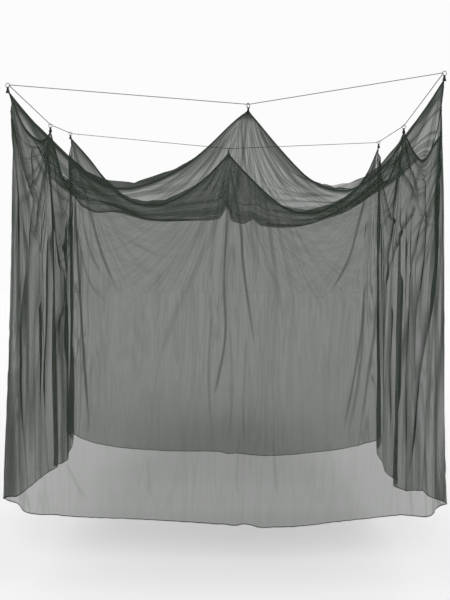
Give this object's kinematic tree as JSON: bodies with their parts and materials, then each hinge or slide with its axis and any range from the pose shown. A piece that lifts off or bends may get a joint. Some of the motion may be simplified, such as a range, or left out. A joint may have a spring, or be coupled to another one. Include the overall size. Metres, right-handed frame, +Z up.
{
  "type": "mosquito net canopy with hanging cord",
  "caption": "Box-shaped mosquito net canopy of sheer dark green net, open below, its top edge hung in swags by small rings from a rectangle of taut cord.",
  "frame": {"origin": "midway between the middles of the four corner rings, which hooks in the walls or ceiling hold", "axes": "+X to the right along the long sides, +Y to the back, +Z up"},
  "size_m": [1.6244, 1.0976, 1.5828],
  "materials": {
    "net": "sheer knitted polyester net, dark olive green, matt",
    "binding_tape": "narrow folded woven tape, dark green",
    "loop_tape": "woven tape, black",
    "ring_metal": "bright plated wire",
    "cord_fibre": "thin braided cord, mid grey"
  },
  "bodies": {
    "root": {"roof": "net", "wall_front": "net", "wall_back": "net", "wall_left": "net", "wall_right": "net", "top_binding": "binding_tape", "loop_front_left": "loop_tape", "loop_front_middle": "loop_tape", "loop_front_right": "loop_tape", "loop_right_middle": "loop_tape", "loop_back_right": "loop_tape", "loop_back_middle": "loop_tape", "loop_back_left": "loop_tape", "loop_left_middle": "loop_tape", "ring_front_left": "ring_metal", "ring_front_middle": "ring_metal", "ring_front_right": "ring_metal", "ring_right_middle": "ring_metal", "ring_back_right": "ring_metal", "ring_back_middle": "ring_metal", "ring_back_left": "ring_metal", "ring_left_middle": "ring_metal", "cord": "cord_fibre", "cord_knot": "cord_fibre"}
  },
  "joints": []
}
